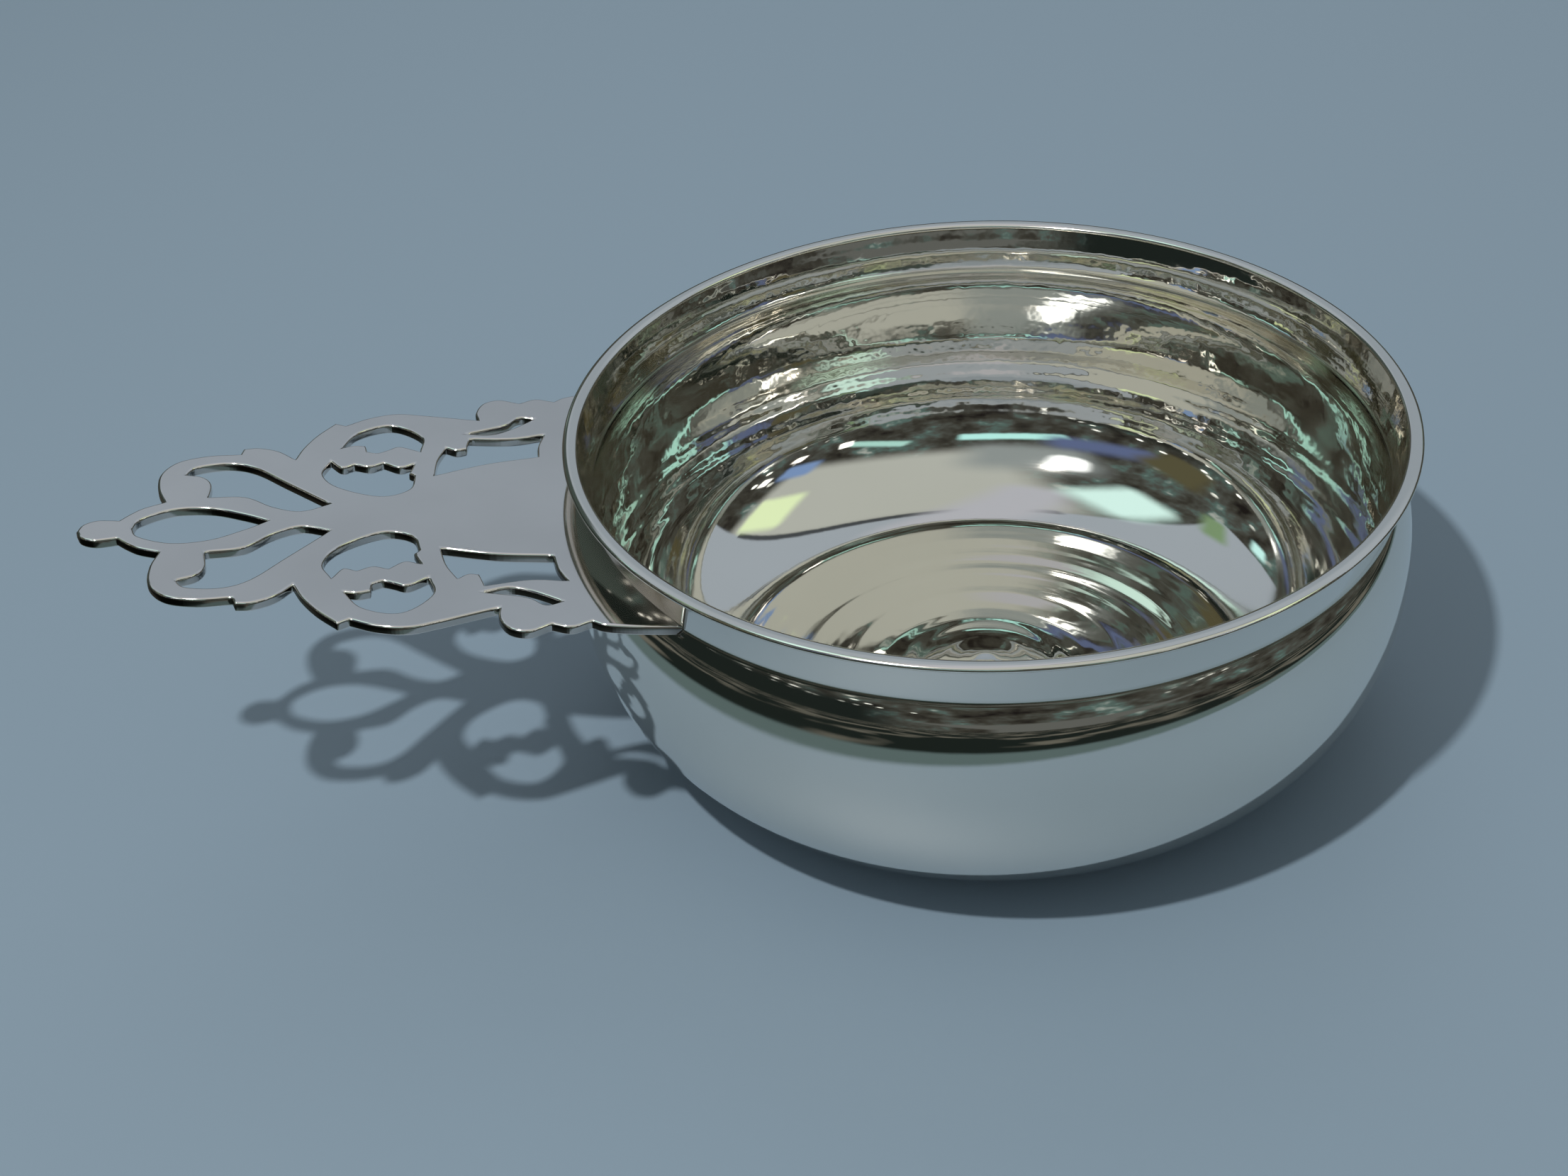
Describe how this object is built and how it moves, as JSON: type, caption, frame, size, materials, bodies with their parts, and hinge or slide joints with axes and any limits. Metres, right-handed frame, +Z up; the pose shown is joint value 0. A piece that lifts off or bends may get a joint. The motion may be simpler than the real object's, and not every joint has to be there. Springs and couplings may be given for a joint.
{
  "type": "silver porringer",
  "caption": "Round shallow bowl with a bulging belly, a domed bottom, a short flared collar, a wire rim and one flat pierced handle, for porridge, soup or small servings.",
  "frame": {"origin": "halfway along the porringer on its centre line, in the plane of the flat ring that the bowl stands on; the bowl's axis is 32.9 mm from it towards +X", "axes": "+Z up, parallel to the bowl's axis, the handle points along -X, +Y completes the frame"},
  "size_m": [0.1864, 0.1206, 0.0503],
  "materials": {
    "bowl_silver": "polished sterling silver",
    "rim_silver": "polished sterling silver, lightly rubbed",
    "handle_silver": "polished sterling silver sheet with filed edges",
    "solder": "silver solder, satin"
  },
  "bodies": {
    "root": {"bowl": "bowl_silver", "rim_wire": "rim_silver", "handle_plate": "handle_silver", "handle_solder": "solder"}
  },
  "joints": []
}
